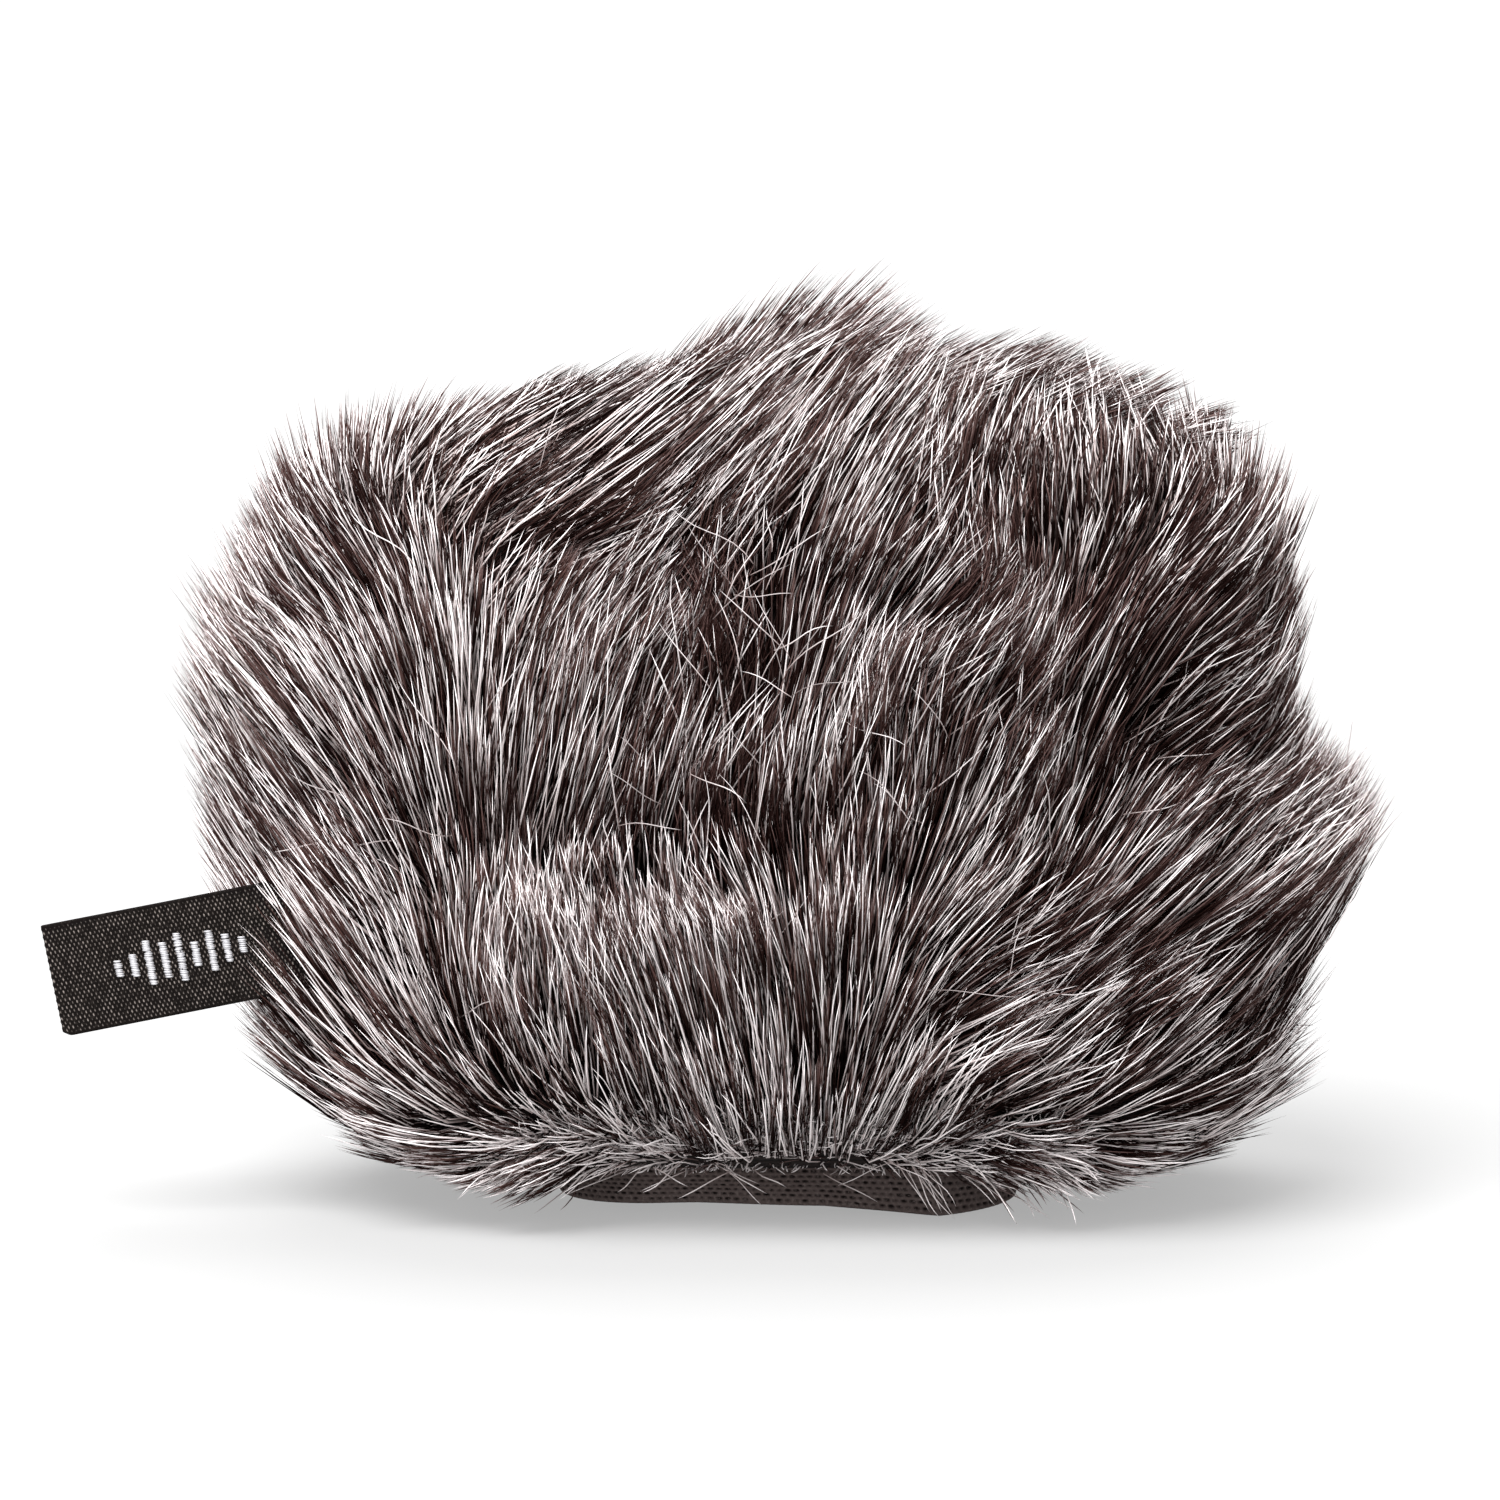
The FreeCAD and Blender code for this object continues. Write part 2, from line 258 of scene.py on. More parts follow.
# Which way the front is combed: for each height, (x, degrees from +X towards +Z)
FRONT_COMBING = {
    4: ((-44, 165), (-30, 170), (-20, 152), (-13, 112), (0, 95), (11, 75), (16, 30), (24, -6), (32, 2),
        (44, 10)),
    13: ((-54, 150), (-42, 147), (-32, 128), (-22, 117), (-13, 107), (2, 92), (14, 67), (24, 78),
         (31, 52), (40, 33), (52, 20)),
    22: ((-60, 158), (-55, 135), (-50, 121), (-38, 117), (-26, 105), (-10, 105), (4, 88), (12, 65),
         (20, 33), (32, 40), (44, 48), (54, 38)),
    32: ((-60, 130), (-52, 124), (-46, 110), (-40, 78), (-34, 78), (-29, 93), (-21, 98), (-14, 109),
         (-2, 106), (5, 92), (12, 78), (19, 45), (24, 18), (37, 25), (48, 29), (60, 38)),
    43: ((-60, 132), (-47, 116), (-41, 85), (-34, 84), (-27, 92), (-15, 100), (-8, 110), (-1, 105),
         (5, 92), (12, 80), (21, 54), (33, 52), (44, 43), (56, 32), (66, 14)),
    54: ((-64, 150), (-58, 142), (-50, 122), (-44, 107), (-38, 90), (-30, 79), (-12, 80), (0, 72),
         (6, 80), (11, 92), (17, 80), (24, 56), (31, 76), (38, 62), (47, 45), (58, 28)),
    66: ((-64, 150), (-56, 138), (-46, 102), (-40, 90), (-32, 77), (-24, 74), (-16, 78), (-11, 95),
         (-4, 108), (2, 80), (8, 62), (16, 44), (24, 67), (36, 65), (44, 50), (50, 36), (58, 30)),
    76: ((-62, 148), (-54, 130), (-47, 112), (-41, 90), (-32, 72), (-22, 70), (-15, 82), (-10, 108),
         (-5, 122), (1, 85), (7, 58), (14, 50), (22, 50), (28, 66), (38, 66), (46, 52), (52, 42),
         (58, 36)),
    86: ((-54, 124), (-48, 115), (-43, 100), (-36, 76), (-29, 45), (-22, 42), (-15, 60), (-4, 68),
         (8, 64), (18, 67), (31, 77), (40, 67), (48, 55)),
    96: ((-30, 75), (-20, 66), (-5, 62), (5, 62), (15, 68), (26, 75), (35, 75)),
}

# Places where the nap on the back turns: x, z, radius in x, radius in z, degrees
BACK_TURNS = (
    (20, 78, 16, 16, 26), (-12, 60, 12, 12, -24), (4, 44, 10, 10, 20), (38, 34, 12, 12, -16),
)

# Places where the hair leans over more, or stands up more: x, z, radius in x, radius in z, share
FRONT_LEANS = (
    (0, 8, 32, 7, -0.30), (-15, 30, 22, 8, -0.52), (-15, 47, 22, 7, 0.40), (12, 32, 8, 8, -0.25),
    (36, 46, 14, 5, -0.30), (38, 56, 14, 5, 0.20),
)
BACK_LEANS = (
    (14, 28, 24, 9, -0.40), (14, 45, 24, 8, 0.30),
)

# Places where the tufts stand higher or lie lower: x, z, radius in x, radius in z, share
FRONT_LIFTS = (
    (-16, 43, 24, 4, 0.09), (-16, 52, 24, 4.5, -0.18), (-5, 72, 8, 12, -0.32), (-1, 61, 4, 4, 0.06),
    (-3, 53, 5, 5, -0.10), (9, 53, 6, 5, 0.06), (22, 32, 5, 5, -0.16), (28, 38, 13, 5, 0.05),
    (34, 48, 16, 4, -0.08), (42, 58, 14, 4, -0.06),
)
BACK_LIFTS = (
    (18, 40, 24, 6, 0.05), (16, 51, 24, 5, -0.07), (-26, 62, 12, 8, -0.07),
)

# Places where more of the hair is pale, or dark: x, z, radius in x, radius in z, share. Besides the
# fur's own uneven tone, these hold painted light and shade: the darkened hollows, the dark bands just
# above the tufts' ledges and the darker right side are painted shade, and the paler left side is
# painted light.
FRONT_TONE_AND_PAINTED_LIGHT = (
    (-38, 62, 26, 30, 0.08), (-14, 26, 26, 14, 0.22), (-44, 26, 18, 20, 0.85),
    (-16, 45, 24, 2.5, 0.32), (-16, 51, 24, 3.5, -0.62), (-24, 84, 9, 4, 0.25),
    (-18, 79, 4, 5, -0.35), (-5, 72, 8, 12, -0.80), (-1, 61, 4, 4, 0.45), (-3, 53, 5, 6, -0.40),
    (10, 55, 6, 5, 0.35), (25, 45, 5, 3, 0.35), (26, 26, 10, 6, 0.25), (38, 17, 13, 8, 0.20),
    (22, 32, 4, 4, -0.45), (36, 38, 10, 5, -0.38), (43, 56, 13, 3, -0.35), (22, 79, 4, 5, -0.30),
    (44, 75, 9, 4, -0.25), (-4, 86, 26, 12, 0.22), (36, 74, 26, 22, -0.40), (50, 34, 12, 14, -0.14),
)
BACK_TONE_AND_PAINTED_SHADE = (
    (34, 60, 26, 28, 0.14), (-28, 76, 26, 18, -0.18), (10, 51, 24, 5, -0.30),
    (-20, 30, 24, 12, 0.12),
)


def outer_triangles(panel):
    """The triangles of a panel's backing that lie on its outer face, in mm."""
    mesh = NODES[panel + "_fur_backing"].data
    mesh.calc_loop_triangles()
    points = np.array([vertex.co for vertex in mesh.vertices]) / MM
    triangles = points[np.array([triangle.vertices for triangle in mesh.loop_triangles])]
    on_face = np.abs(SKIN.distance(triangles)).max(axis=1) < 0.15
    return triangles[on_face & (np.abs(SKIN.distance(triangles.mean(axis=1))) < 0.3)]


def roots_on(panel, density, rng):
    """Root points spread evenly over a panel's outer face, with a density per square mm."""
    triangles = outer_triangles(panel)
    first, second, third = triangles[:, 0], triangles[:, 1], triangles[:, 2]
    areas = np.linalg.norm(np.cross(second - first, third - first), axis=1) / 2
    count = int(areas.sum() * density)
    chosen = rng.choice(len(triangles), count, p=areas / areas.sum())
    along, across = rng.random(count), rng.random(count)
    folded = along + across > 1
    along = np.where(folded, 1 - along, along)[:, None]
    across = np.where(folded, 1 - across, across)[:, None]
    start = first[chosen]
    return start + (second[chosen] - start) * along + (third[chosen] - start) * across


def local_sum(points, places, forward):
    """Adds up soft round places given in x and z, on the front or the back of the cover."""
    side = fade(4, 20, -points[:, 1] if forward else points[:, 1])
    total = np.zeros(len(points))
    for x, z, radius_x, radius_z, amount in places:
        reach = ((points[:, 0] - x) / radius_x) ** 2 + ((points[:, 2] - z) / radius_z) ** 2
        total += amount * np.exp(-reach)
    return total * side


def front_and_back(points, front, back):
    """Adds up the soft round places of both faces."""
    return local_sum(points, front, True) + local_sum(points, back, False)


def combed_degrees(points):
    """The front's combing direction at each point, between the rows of FRONT_COMBING."""
    heights = list(FRONT_COMBING)
    rows = np.stack([np.interp(points[:, 0], *zip(*row)) for row in FRONT_COMBING.values()])
    place = np.interp(points[:, 2], heights, np.arange(len(heights)))
    below = np.minimum(place.astype(int), len(heights) - 2)
    share = place - below
    column = np.arange(len(points))
    return rows[below, column] * (1 - share) + rows[below + 1, column] * share


def hem_share(points):
    """How far a hair belongs to the hem that hangs down over the elastic's ends, from 0 to 1."""
    x, _, z = points.T
    return (1 - fade(HEM_LOW, HEM_TOP, z)) * fade(HEM_START, HEM_END, np.abs(x))


def along_surface(directions, normals):
    """Directions laid flat on the surface, and how much of each one was along it."""
    flat = directions - normals * (directions * normals).sum(axis=1, keepdims=True)
    return unit(flat), np.clip(np.linalg.norm(flat, axis=1) / 0.4, 0, 1)


def nap_direction(points, normals, spread):
    """The way the hair leans along the surface, and how much of its full lean it has."""
    x, y, z = points.T
    away = unit(xyz(x - FAN_X - FAN_SLOPE * z, y, z + FAN_DEPTH))
    hanging = unit(xyz(np.sign(x), y / 60, -0.42))
    away = unit(away + (hanging - away) * hem_share(points)[:, None])
    flat, share = along_surface(away, normals)
    in_front = fade(4, 20, -y)
    for _ in range(2):
        seen = points + normals * PILE_RISE * 0.8 + flat * NAP_LEAN * 0.6
        angle = np.radians(combed_degrees(seen))
        combed_way = xyz(np.cos(angle), 0.0, np.sin(angle))
        flat, share = along_surface(away + (combed_way - away) * in_front[:, None], normals)
    degrees = local_sum(points, BACK_TURNS, False)
    degrees += 10 * wobble(points, 46, seed=11) * (1 - in_front) + 6 * wobble(points, 15, seed=12)
    degrees += spread
    angle = np.radians(degrees)[:, None]
    turned = flat * np.cos(angle) + np.cross(normals, flat) * np.sin(angle)
    return turned * share[:, None], share


def outline_share(directions):
    """How much further out or in the coat lies than its plain block, strongest at the outline."""
    angle = np.degrees(np.arctan2(directions[:, 2], directions[:, 0]))
    at_edge = 1 - 0.7 * np.abs(directions[:, 1])
    share = np.ones(len(directions))
    for centre, spread, amount in OUTLINE:
        apart = (angle - centre + 180) % 360 - 180
        share += amount * np.exp(-(apart / spread) ** 2) * at_edge
    return share


def coat_tips(roots, normals, rng, jitter, lean_scale, depth_low, depth_high):
    """Where hairs from these roots end, on or a little inside the coat's surface."""
    count = len(roots)
    nap, share = nap_direction(roots, normals, rng.normal(0, jitter, count))
    lean = NAP_LEAN * lean_scale * share * rng.uniform(0.8, 1.2, count)
    lean *= 1 + front_and_back(roots, FRONT_LEANS, BACK_LEANS)
    aim = roots + normals * PILE_RISE + nap * lean[:, None]
    direction = unit(aim - CENTRE)
    surface = COAT.reach(CENTRE, direction) * outline_share(direction)
    lift = 1 + front_and_back(aim, FRONT_LIFTS, BACK_LIFTS)
    lift += 0.028 * wobble(aim, 13, seed=21) + 0.016 * wobble(aim, 34, seed=22)
    depth = rng.uniform(depth_low, depth_high, count)
    tips = CENTRE + direction * (surface * lift * depth)[:, None]
    beyond = np.clip(np.abs(tips[:, 0]) - HEM_FLAT_HALF, 0, HEM_ROUND)
    lowest = rng.uniform(0.8, 4.5, count) + HEM_ROUND - np.sqrt(HEM_ROUND ** 2 - beyond ** 2)
    drop = hem_share(roots) * np.maximum(tips[:, 2] - lowest, 0)
    tips[:, 2] -= 0.9 * drop
    tips[:, :2] -= 0.25 * drop[:, None] * normals[:, :2]
    return tips, nap


def combed(roots, rng, tufts, jitter, depth, clump):
    """The four control points of each hair, gathered into tufts."""
    normals = SKIN.normal(roots)
    tips, nap = coat_tips(roots, normals, rng, jitter, 1.0, *depth)
    for (tuft_tree, tuft_roots, tuft_tips), pull in zip(tufts, clump):
        nearest = np.array([tuft_tree.find(root)[1] for root in roots])
        offset = roots - tuft_roots[nearest]
        goal = tuft_tips[nearest] + offset * 0.45
        share = pull * rng.uniform(0.55, 1.0, len(roots))
        tips = tips + (goal - tips) * share[:, None]
    length = np.linalg.norm(tips - roots, axis=1, keepdims=True)
    ending = unit(unit(tips - roots) * 0.9 + nap * 0.35 + rng.normal(0, 0.07, roots.shape))
    buried = roots - normals * 0.8
    rising = roots + normals * length * 0.34 + nap * length * 0.06
    closing = tips - ending * length * 0.36
    return np.stack([buried, rising, closing, tips], axis=1)


def tuft_level(spacing, seed, jitter, depth):
    """Tufts: their roots, where each one's tips gather, and a tree to find them with."""
    rng = np.random.default_rng(seed)
    roots = np.concatenate([roots_on(panel, 1 / spacing ** 2, rng) for panel in PANELS])
    normals = SKIN.normal(roots)
    tips, _ = coat_tips(roots, normals, rng, jitter, 1.05, *depth)
    tree = KDTree(len(roots))
    for index, root in enumerate(roots):
        tree.insert(root, index)
    tree.balance()
    return tree, roots, tips


def along_bezier(controls, shares):
    """Points along each hair at the given shares of its length."""
    t = np.asarray(shares)[None, :, None]
    start, rising, closing, end = (controls[:, None, index] for index in range(4))
    inner = rising * 3 * t * (1 - t) ** 2 + closing * 3 * t ** 2 * (1 - t)
    return start * (1 - t) ** 3 + inner + end * t ** 3


# ---- fur: what it keeps clear of
FLOOR_GAP = 0.5
BAND_SHOWS = (  # (x, height) of the fur's lower edge in front, over the elastic
    (-27, 0.5), (-17, 3.8), (-5, 4.5), (8, 4.2), (14, 3.2), (25, 0.5),
)
LABEL_HALF_WIDTH = 6.35
LABEL_HALF_THICK = 0.4
FRINGE_HALF = 29.0  # how far along X the fringe over the elastic reaches
FRINGE_RISE = 4.5  # how high up the cloth it grows
FRINGE_ALONE = 2.0  # and how high no other hair does
FRINGE_DENSITY = 4.2  # per square mm
DROOP_SHARE = 0.35  # the share of the fringe's lowest hairs that droop over the elastic
DROOP_RISE = 1.2  # how high up the cloth they grow
DROOP_TURN = -0.6
DROOP_LENGTH = 0.35


def keep_clear_below(points):
    """Lifts hair off the floor, and off the part of the elastic that shows."""
    x, y, z = points[..., 0], points[..., 1], points[..., 2]
    edge = np.interp(np.where(y < 0, x, -x), *zip(*BAND_SHOWS))
    in_front = np.maximum(np.abs(y) - 18, 0)
    least = FLOOR_GAP + (edge - 0.5) * (1 + 0.025 * in_front)
    soft = 1.2
    raised = least + soft * np.log1p(np.exp(np.clip((z - least) / soft, -30, 30)))
    lifted = np.where(z < least + 4, raised, z)
    return xyz(x, y, lifted)


def keep_clear_of_label(points, in_front):
    """Moves hair that crosses the label to the side of it that the hair grows on."""
    out, up, forward = label_coordinates(points)
    near = (1 - fade(LABEL_HALF_WIDTH + 0.4, LABEL_HALF_WIDTH + 2.4, np.abs(up)))
    near = near * fade(-3.5, -1.5, out)
    gap = LABEL_HALF_THICK + 0.5
    wanted = np.where(in_front[:, None], np.maximum(forward, gap), np.minimum(forward, -gap))
    return points + LABEL_FORWARD * ((wanted - forward) * near)[..., None]


# ---- meshes
def strand_pattern(shares, sides):
    """A closed strand's faces as vertex numbers, and their corners' places in its map cell."""
    rings = len(shares) - 1
    heights = [0.06 + 0.88 * share for share in shares]
    edges = [0.1 + 0.8 * side / sides for side in range(sides + 1)]
    faces = [tuple(reversed(range(sides)))]
    corners = [(edges[side], 0.02) for side in faces[0]]
    for ring in range(rings):
        low, high = heights[ring:ring + 2]
        for side in range(sides):
            here, there = ring * sides + side, ring * sides + (side + 1) % sides
            left, right = edges[side:side + 2]
            corners += [(left, low), (right, low)]
            if ring < rings - 1:
                faces.append((here, there, there + sides, here + sides))
                corners += [(right, high), (left, high)]
            else:
                faces.append((here, there, rings * sides))
                corners.append(((left + right) / 2, high))
    return faces, np.array(corners)


def declare(made, body, stands_for=None):
    """Says which body a piece moves with, and the CAD node it replaces."""
    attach(made, body)
    if stands_for:
        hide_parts(stands_for)


def mesh_from(name, points, loops, starts, material):
    """A smooth mesh object from arrays, in mm."""
    mesh = bpy.data.meshes.new(name)
    mesh.vertices.add(len(points))
    mesh.vertices.foreach_set("co", (points * MM).astype(np.float32).ravel())
    mesh.loops.add(len(loops))
    mesh.loops.foreach_set("vertex_index", loops.astype(np.int32))
    mesh.polygons.add(len(starts))
    mesh.polygons.foreach_set("loop_start", starts.astype(np.int32))
    mesh.update(calc_edges=True)
    mesh.shade_smooth()
    mesh.materials.append(material)
    made = bpy.data.objects.new(name, mesh)
    bpy.context.scene.collection.objects.link(made)
    return made


def add_values(mesh, name, values):
    layer = mesh.attributes.new(name, "FLOAT", "POINT")
    layer.data.foreach_set("value", values.astype(np.float32).ravel())


def add_map(mesh, coordinates):
    layer = mesh.uv_layers.new(name="OFBake")
    layer.data.foreach_set("uv", coordinates.astype(np.float32).ravel())


def strand_object(name, spines, shares, widths, tones, material, rng, sides=3, begin=0.0):
    """One object of many strands, from spines of (strand, point, xyz) with the tip last.

    begin is where they start along their material's colours, from 0 at the root to 1.
    """
    count, steps, _ = spines.shape
    rings = steps - 1
    tangent = unit(np.gradient(spines, axis=1))
    reference = unit(rng.normal(size=(count, 1, 3)))
    side = unit(np.cross(tangent, reference))
    lift = np.cross(tangent, side)
    angles = (2 * math.pi * np.arange(sides) / sides)[:, None]
    outward = side[:, :, None] * np.cos(angles) + lift[:, :, None] * np.sin(angles)
    tubes = spines[:, :, None] + outward * widths[:, :, None, None] / 2
    around = tubes[:, :rings].reshape(count, rings * sides, 3)
    points = np.concatenate([around, spines[:, -1:]], axis=1)
    each = rings * sides + 1
    faces, corners = strand_pattern(shares, sides)
    loops = np.concatenate(faces)
    starts = np.cumsum([0] + [len(face) for face in faces[:-1]])
    offsets = np.arange(count)[:, None]
    all_loops = (loops + offsets * each).ravel()
    all_starts = (starts + offsets * len(loops)).ravel()
    made = mesh_from(name, points.reshape(-1, 3), all_loops, all_starts, material)
    along = np.append(np.repeat(shares[:rings], sides), shares[-1])
    begin = np.broadcast_to(begin, count)[:, None]
    add_values(made.data, "strand_along", begin + (1 - begin) * along)
    add_values(made.data, "strand_tone", np.repeat(tones, each))
    cells = math.ceil(math.sqrt(count))
    cell = np.stack([offsets % cells, offsets // cells], axis=-1)
    add_map(made.data, (cell + corners) / cells)
    return made


def loop_object(name, points, values, material):
    """A cloth form from a grid of points (station, place in its closed section, xyz).

    It is a ring when its last station is the same as its first, and otherwise has flat caps.
    """
    ring = np.allclose(points[0], points[-1])
    if ring:
        points, values = points[:-1], values[:-1]
    stations, places = points.shape[:2]
    rows, here = np.indices((stations - 1 + ring, places))
    there = (here + 1) % places
    above = (rows + 1) % stations
    quads = [rows * places + here, rows * places + there, above * places + there, above * places + here]
    loops = np.stack(quads, axis=-1).ravel()
    starts = np.arange(0, len(loops), 4)
    lengthwise = np.stack([rows, rows, rows + 1, rows + 1], axis=-1) / len(rows)
    around = np.stack([here, here + 1, here + 1, here], axis=-1) / places
    chart = np.stack([lengthwise, around], axis=-1).reshape(-1, 2)
    if not ring:
        first = np.arange(places)[::-1]
        last = np.arange(places) + (stations - 1) * places
        starts = np.append(starts, [len(loops), len(loops) + places])
        loops = np.concatenate([loops, first, last])
        chart = np.concatenate([chart, np.zeros((places, 2)), np.ones((places, 2))])
    made = mesh_from(name, points.reshape(-1, 3), loops, starts, material)
    add_values(made.data, "raised", values)
    add_map(made.data, chart)
    return made


def width_profile(shares, widest, blunt, count, rng):
    """A strand's width at each share of its length: full from the root, then thinning to the tip."""
    shape = np.interp(shares, [0, 0.25, 0.7, 1], [0.8, 1.0, 0.92, blunt])
    return widest * shape[None] * rng.uniform(0.75, 1.15, (count, 1))


def under_fringe(points, rise):
    """Which points are on the cloth's lowest edge over the elastic, up to this much above it."""
    return (points[:, 2] < SKIN.low[2] + rise) & (np.abs(points[:, 0]) < FRINGE_HALF)


def near_label(spines):
    """Hair that the label would sweep through as it swings."""
    steps = spines[:, 1:] - spines[:, :-1]
    between = [spines[:, :-1] + steps * share for share in (0, 0.2, 0.4, 0.6, 0.8)]
    out, up, forward = label_coordinates(np.concatenate([*between, spines[:, -1:]], axis=1))
    inside = (out > 1) & (np.abs(up) < LABEL_HALF_WIDTH + 1) & (np.abs(forward) < 1.2 + out * 0.55)
    return inside.any(axis=1)


def grow_fur(kind, material, tufts, seed, density, shares, width, blunt, jitter, depth, clump, tone,
             hem_painted_light_begin, hem_painted_paleness, most):
    """Every piece of one kind of hair, panel by panel.

    density is per square mm and jitter in degrees. depth is where hairs end on the way from the
    centre to the coat's surface, clump how strongly each level of tufts gathers them, tone their
    middle paleness and its spread, and most how many are in one piece.
    """
    rng = np.random.default_rng(seed)
    beside_label = []
    for panel in PANELS:
        roots = roots_on(panel, density, rng)
        roots = roots[~under_fringe(roots, FRINGE_ALONE)]
        controls = combed(roots, rng, tufts, jitter, depth, clump)
        spines = along_bezier(controls, shares)
        spines = keep_clear_of_label(spines, roots[:, 1] < LABEL_HINGE[1])
        spines = keep_clear_below(spines)
        # At the hem the hair is paler and starts further along its colours: painted light, standing in
        # for the light the floor throws up under the overhanging fur.
        at_hem = 1 - fade(7, 18, roots[:, 2])
        tones = rng.normal(*tone, len(roots)) + 0.10 * wobble(roots, 9, 31)
        tones += hem_painted_paleness * at_hem
        # painted shade in the hollows, above the ledges and on the right side, and painted light on the
        # left, added to the hair's own tone
        tones += front_and_back(spines[:, -1], FRONT_TONE_AND_PAINTED_LIGHT, BACK_TONE_AND_PAINTED_SHADE)
        tones = fade(0.25, 0.75, tones)
        widths = width_profile(shares, width, blunt, len(roots), rng)
        begin = hem_painted_light_begin * at_hem
        by_label = near_label(spines)
        beside_label.append((spines[by_label], widths[by_label], tones[by_label]))
        kept = np.flatnonzero(~by_label)
        groups = np.array_split(kept, math.ceil(len(kept) / most))
        for number, group in enumerate(groups, 1):
            made = strand_object(f"{panel}_{kind}_{number}", spines[group], shares, widths[group],
                                 tones[group], material, rng, begin=begin[group])
            declare(made, "shell", panel + "_fur_pile")
    spines, widths, tones = (np.concatenate(parts) for parts in zip(*beside_label))
    made = strand_object("label_side_" + kind, spines, shares, widths, tones, material, rng)
    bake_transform(made)


def make_fur():
    tufts = [
        tuft_level(8.0, 41, 9, (0.96, 1.05)),
        tuft_level(2.8, 42, 8, (0.90, 1.03)),
    ]
    under = fur_material(
        "underfur",
        [(0.0, (0.006, 0.003, 0.003)), (0.6, (0.008, 0.0030, 0.0025)), (1.0, (0.021, 0.0088, 0.0076))],
        [(0.0, (0.007, 0.004, 0.004)), (0.6, (0.015, 0.0062, 0.0053)), (0.88, (0.075, 0.040, 0.035)),
         (1.0, (0.24, 0.175, 0.170))],
        0.7, 0.02)
    guard = fur_material(
        "guard hair",
        [(0.0, (0.008, 0.004, 0.004)), (0.55, (0.021, 0.0098, 0.0083)), (1.0, (0.115, 0.064, 0.058))],
        [(0.0, (0.011, 0.007, 0.007)), (0.40, (0.51, 0.407, 0.391)), (0.80, (0.99, 0.925, 0.925))],
        0.4, 0.2)
    grow_fur("underfur", under, tufts, seed=101, density=2.45, shares=np.array([0.0, 0.4, 0.75, 1.0]),
             width=0.15, blunt=0.12, jitter=8, depth=(0.86, 1.02), clump=(0.50, 0.62),
             tone=(0.40, 0.30), hem_painted_light_begin=0.15, hem_painted_paleness=0.1, most=11500)
    grow_fur("guard_hair", guard, tufts, seed=202, density=1.5,
             shares=np.array([0.0, 0.35, 0.62, 0.84, 1.0]), width=0.215, blunt=0.6, jitter=10,
             depth=(0.82, 1.015), clump=(0.28, 0.32), tone=(0.61, 0.5), hem_painted_light_begin=0.42,
             hem_painted_paleness=0.45, most=8600)
    return guard


# ---- fur: the fringe and stray hairs
STRAY_SHARES = np.linspace(0, 1, 8)
STRAY_WIDTH = 0.14
MOUTH_HIGH = node_box("elastic_band")[1]
MOUTH_HALF_WIDTH, MOUTH_HALF_DEPTH = MOUTH_HIGH[:2]
TANGLES = (  # x, z, radius and how many, on the front
    (-4, 73, 6, 12), (-1, 61, 4, 12), (13, 55, 6, 8), (22, 32, 4, 9), (-46, 37, 5, 8), (-38, 20, 8, 8),
    (-9, 44, 5, 5),
)
STRAYS_ALL_OVER = 200
HEM_STRAYS = 26
HEM_BUNDLE = 10  # straight hairs together at the right end of the elastic
HEM_BUNDLE_X = 13.5
TANGLE_Y = -36.0


def in_plane(directions):
    """Square to each direction, in the plane of x and z."""
    return unit(np.cross(directions, (0.0, 1.0, 0.0)))


def bent_lines(starts, directions, sideways, lengths, bends, rng):
    """Hairs from these starts that bend sideways as they go, in two uneven curves."""
    share = STRAY_SHARES[None, :, None]
    length = lengths[:, None, None]
    bend = bends[:, None, None]
    second = rng.normal(0, 0.025, (len(starts), 1, 1))
    aside = bend * share ** 2 + second * np.sin(2 * math.pi * share)
    return starts[:, None] + length * (directions[:, None] * share + sideways[:, None] * aside)


def stray_lines(directions, rng):
    """Loose hairs that lie across the others, just under and over the coat's surface."""
    count = len(directions)
    reach = COAT.reach(CENTRE, directions) * outline_share(directions)
    starts = CENTRE + directions * (reach - rng.uniform(4.0, 8.0, count))[:, None]
    normals = COAT.normal(starts)
    nap, _ = nap_direction(starts, normals, rng.normal(0, 44, count))
    lean = unit(nap + normals * rng.uniform(0.0, 0.5, count)[:, None])
    lengths = rng.uniform(5, 12, count)
    bends = rng.normal(0, 0.13, count)
    return bent_lines(starts, lean, np.cross(normals, nap), lengths, bends, rng)


def hem_lines(rng):
    """Short hairs at the hem that point down over the elastic's upper edge."""
    count = HEM_STRAYS + HEM_BUNDLE
    bundled = np.arange(count) >= HEM_STRAYS
    side = np.where((np.arange(count) % 2 == 1) | bundled, 1.0, -1.0)
    x = np.where(bundled, rng.normal(HEM_BUNDLE_X, 0.8, count), rng.uniform(-18, 12, count) * side)
    y = -side * (MOUTH_HALF_DEPTH + rng.uniform(6.0, 9.0, count))
    starts = xyz(x, y, rng.uniform(6.4, 8.2, count))
    loose = rng.choice([-1.0, 1.0], count) * rng.uniform(0.6, 2.4, count)
    lean = np.where(bundled, rng.uniform(0.45, 0.95, count), loose)
    directions = unit(xyz(lean, -side * rng.uniform(0.0, 0.25, count), -1.0))
    return bent_lines(starts, directions, in_plane(directions), rng.uniform(4.0, 8.0, count),
                      rng.normal(0, 0.05, count), rng)


